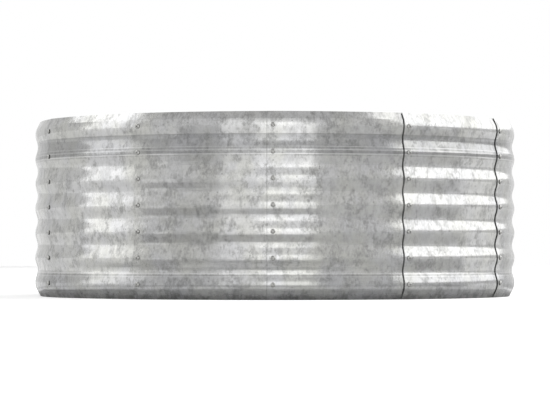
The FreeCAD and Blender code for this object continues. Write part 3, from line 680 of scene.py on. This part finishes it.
def fasten_seams(label, master, radius):
    """One piece to a seam: its seven bolts, washers or nuts, standing for the CAD node."""
    for number, seam in enumerate(SEAMS, start=1):
        row = grow("%s_%02d" % (label, number), FASTENING, {
            "Fastener": master, "Radius": radius, "Angle": seam, "Seed": number,
            "Metal": ZINC_PLATE})
        hand_over(row, "seam_%s_%02d" % (label, number))
    bpy.data.objects.remove(master)


fasten_seams("bolts", make_bolt(), HEAD_SEAT)


# ---------------------------------------------------------------- seam washers
# A flat zinc-plated M5 washer on every bolt, stamped, so the rim of one face is eased more
# than the other's. It spreads the nut's load on the inside of the sheet.
WASHER_RADIUS, WASHER_BORE, WASHER_THICK = 0.006, 0.00265, 0.001
RIM_BREAK, RIM_EASE, WASHER_SIDES = 0.0001, 0.0003, 28
WASHER_SEAT = (SEAM_RADIUS - LAP_STEP / 2 - SHEET - 2 * SEAT_GAP
               - WASHER_RADIUS * math.tan(SEAM_TURN / 2)
               - WASHER_RADIUS ** 2 / (2 * (WAVE_BEND - SHEET / 2)))


def make_washer():
    """One washer, its seat on the sheet at the origin and its thickness towards -X."""
    bm = bmesh.new()
    profile = [(0.0, WASHER_BORE), (0.0, WASHER_RADIUS - RIM_BREAK),
               (-RIM_BREAK, WASHER_RADIUS), (-WASHER_THICK + RIM_EASE, WASHER_RADIUS),
               (-WASHER_THICK, WASHER_RADIUS - RIM_EASE), (-WASHER_THICK, WASHER_BORE)]
    rows = [[bm.verts.new(p) for p in ring(x, r, WASHER_SIDES)] for x, r in profile]
    for lower, upper in zip(rows, rows[1:] + rows[:1]):
        for k in range(len(lower)):
            bm.faces.new((lower[k - 1], lower[k], upper[k], upper[k - 1]))
    return as_object("washer", bm)


fasten_seams("washers", make_washer(), WASHER_SEAT)


# ---------------------------------------------------------------- seam nuts
# A zinc-plated M5 hexagon nut on every bolt, inside the bed. Its corners are turned off on
# both faces and its bore is tapped.
NUT_FLATS, NUT_THICK, NUT_CHAMFER = 0.004, 0.004, 0.0005
# The tool that turns the corners off, then the bore: its mouths, where the thread begins and
# ends, and how far the tap runs past both faces.
CORNER_SIDES, CORNER_CLEAR, FACE_INSET = 36, 0.0001, 0.00005
MOUTH_FLARE, BORE_INSET, MOUTH_DEPTH, TAP_END = 0.0002, 0.0002, 0.0004, 0.0005
TAP_INSET, TAP_OVERSHOOT = 0.0003, 0.001
NUT_SEAT = WASHER_SEAT - WASHER_THICK - SEAT_GAP


def make_nut():
    """One nut, its seat on the washer at the origin and its thickness towards -X."""
    bm = bmesh.new()
    corner = NUT_FLATS / math.cos(math.pi / 6)
    skin(bm, [ring(0.0, corner, 6), ring(-NUT_THICK, corner, 6)])
    nut = as_object("nut", bm)
    bm = bmesh.new()
    wide, slim = corner + CORNER_CLEAR, NUT_FLATS - FACE_INSET
    skin(bm, [ring(0.0, slim, CORNER_SIDES), ring(-NUT_CHAMFER, wide, CORNER_SIDES),
              ring(-NUT_THICK + NUT_CHAMFER, wide, CORNER_SIDES),
              ring(-NUT_THICK, slim, CORNER_SIDES)])
    nut = cut(nut, as_object("corners", bm), "INTERSECT")
    bm = bmesh.new()
    mouth, bore = SHANK + MOUTH_FLARE, SHANK - BORE_INSET
    rings = [ring(TAP_OVERSHOOT, mouth), ring(0.0, mouth), ring(-MOUTH_DEPTH, bore)]
    rings += thread(-TAP_END, -NUT_THICK + TAP_END, SHANK - TAP_INSET, THREAD_DEPTH)
    rings += [ring(-NUT_THICK + MOUTH_DEPTH, bore), ring(-NUT_THICK, mouth),
              ring(-NUT_THICK - TAP_OVERSHOOT, mouth)]
    skin(bm, rings)
    return cut(nut, as_object("tap", bm))


fasten_seams("nuts", make_nut(), NUT_SEAT)


# ---------------------------------------------------------------- floor, light and camera
# A pale seamless floor in a white studio. Tall soft boxes stand to the left, ahead and along
# the right, and show in the metal as its bright bands.
FLOOR_REACH, FLOOR_LIFT, FLOOR_PAINT = 11.0, 0.38, (0.86, 0.86, 0.86, 1)
WHITE, BLACK = (1, 1, 1, 1), (0, 0, 0, 1)
# The room's level in diffuse light, and what is added where it is seen or reflected: 1 in all.
ROOM_LIGHT, ROOM_SEEN = 0.15, 0.85
# How far off the soft boxes stand, and into how many strips up and round each is divided.
ROOM, BOX_ROWS, LIGHT_STEPS = 12.0, 12, 16
# Each soft box: its azimuths (0 is towards the camera, and to the right counts up), its
# elevations and its radiance, where the white room has 1. The ceiling is a little darker.
SOFT_BOXES = {
    "left_box": ((-102.5, -80), (0.5, 29), 1.95), "left_wing": ((-80, -64), (0.5, 40), 1.5),
    "left_top": ((-127, -80), (29, 62), 2.3),
    "front_box": ((-10, 20.5), (0.5, 22), 2.1), "front_top": ((-10, 20.5), (22, 37), 1.35),
    "front_wing": ((-26, -10), (0.5, 37), 1.42),
    "right_box": ((60, 172), (9, 48), 2.3), "right_top": ((60, 172), (48, 64), 1.95),
    "ceiling": ((-78, 60), (40, 85), 0.8)}
# Cards lie on the floor and show in the wall's lower slopes: azimuths, how far from the wall
# they begin and end, and radiance. Most run on about as far as the floor does.
FAR = FLOOR_REACH
FLOOR_CARDS = {
    "foot_card": ((-168, 168), (0.032, 0.1), 0.98),
    "left_back_card": ((-165, -103), (0.12, FAR), 1.0),
    "left_card": ((-102.5, -64), (0.13, FAR), 1.02),
    "left_shade_card": ((-64, -34), (0.12, 0.5), 0.62),
    "left_wing_card": ((-64, -46), (0.5, FAR), 0.98),
    "front_wing_card": ((-26, -10), (0.3, FAR), 1.2),
    "front_card": ((-10, 20.5), (0.35, FAR), 1.6),
    "right_card": ((101, 140), (0.1, FAR), 1.0)}
CARD_HEIGHT = 0.002


def studio_object(name, mesh):
    """An object that belongs to the studio, not to the bed."""
    made = bpy.data.objects.new(name, mesh)
    bpy.context.scene.collection.objects.link(made)
    return made


def make_floor():
    """A square of pale floor, lifted towards white for the camera alone."""
    mesh = bpy.data.meshes.new("floor")
    r = FLOOR_REACH
    mesh.from_pydata([(-r, -r, 0), (r, -r, 0), (r, r, 0), (-r, r, 0)], [], [(0, 1, 2, 3)])
    studio_object("floor", mesh)
    paint = bpy.data.materials.new("pale_floor")
    paint.use_nodes = True
    tree = paint.node_tree
    shader = tree.nodes["Principled BSDF"]
    shader.inputs["Base Color"].default_value = FLOOR_PAINT
    shader.inputs["Roughness"].default_value = 0.9
    shader.inputs["Specular IOR Level"].default_value = 0.0
    shader.inputs["Emission Color"].default_value = WHITE
    path = put(tree, "ShaderNodeLightPath")
    lift = calc(tree, "MULTIPLY", out(path, "Is Camera Ray"), FLOOR_LIFT)
    tree.links.new(lift, shader.inputs["Emission Strength"])
    mesh.materials.append(paint)


def make_world():
    """The white room, at full strength only where it is seen, reflected or looked through."""
    world = bpy.data.worlds.new("studio")
    world.use_nodes = True
    tree = world.node_tree
    sky = tree.nodes["Background"]
    path = put(tree, "ShaderNodeLightPath")
    seen = calc(tree, "MAXIMUM", out(path, "Is Camera Ray"), out(path, "Is Glossy Ray"))
    seen = calc(tree, "MAXIMUM", seen, out(path, "Is Transmission Ray"))
    level = calc(tree, "MULTIPLY_ADD", seen, ROOM_SEEN, ROOM_LIGHT)
    tree.links.new(level, sky.inputs["Strength"])
    sky.inputs["Color"].default_value = WHITE
    bpy.context.scene.world = world


def glowing_sheet(name, azimuths, rows, radiance):
    """A sheet of light through rows of (distance out, height), between two azimuths.

    Each azimuth is measured from the place on the wall that mirrors it to the camera."""
    points = []
    for i in range(LIGHT_STEPS + 1):
        azimuth = math.radians(azimuths[0] + (azimuths[1] - azimuths[0]) * i / LIGHT_STEPS)
        wall_x = SEAM_RADIUS * math.sin(azimuth / 2)
        wall_y = -SEAM_RADIUS * math.cos(azimuth / 2)
        points += [(wall_x + away * math.sin(azimuth), wall_y - away * math.cos(azimuth), height)
                   for away, height in rows]
    count = len(rows)
    faces = [(a, a + 1, a + count + 1, a + count) for a in range(LIGHT_STEPS * count)
             if a % count < count - 1]
    mesh = bpy.data.meshes.new(name)
    mesh.from_pydata(points, [], faces)
    sheet = studio_object(name, mesh)
    sheet.visible_camera = False
    glow = bpy.data.materials.new(name)
    glow.use_nodes = True
    shader = glow.node_tree.nodes["Principled BSDF"]
    shader.inputs["Base Color"].default_value = BLACK
    shader.inputs["Emission Color"].default_value = WHITE
    shader.inputs["Emission Strength"].default_value = radiance
    mesh.materials.append(glow)
    return sheet


make_floor()
make_world()
for name, (azimuths, elevations, radiance) in SOFT_BOXES.items():
    rises = [math.radians(elevations[0] + (elevations[1] - elevations[0]) * k / BOX_ROWS)
             for k in range(BOX_ROWS + 1)]
    glowing_sheet(name, azimuths, [(ROOM * math.cos(r), ROOM * math.sin(r)) for r in rises],
                  radiance)
for name, (azimuths, reach, radiance) in FLOOR_CARDS.items():
    card = glowing_sheet(name, azimuths, [(away, CARD_HEIGHT) for away in reach], radiance)
    card.visible_diffuse, card.visible_shadow = False, False

CAMERA_PLACE, CAMERA_PITCH, LENS = (0.0, -5.4, 0.0915), math.radians(1.02), 168.9
camera = bpy.data.objects.new("camera", bpy.data.cameras.new("camera"))
bpy.context.scene.collection.objects.link(camera)
camera.data.sensor_width = 36.0
camera.data.lens = LENS
camera.location = CAMERA_PLACE
camera.rotation_euler = (math.pi / 2 + CAMERA_PITCH, 0.0, 0.0)
bpy.context.scene.camera = camera
bpy.context.scene.view_settings.view_transform = "Standard"
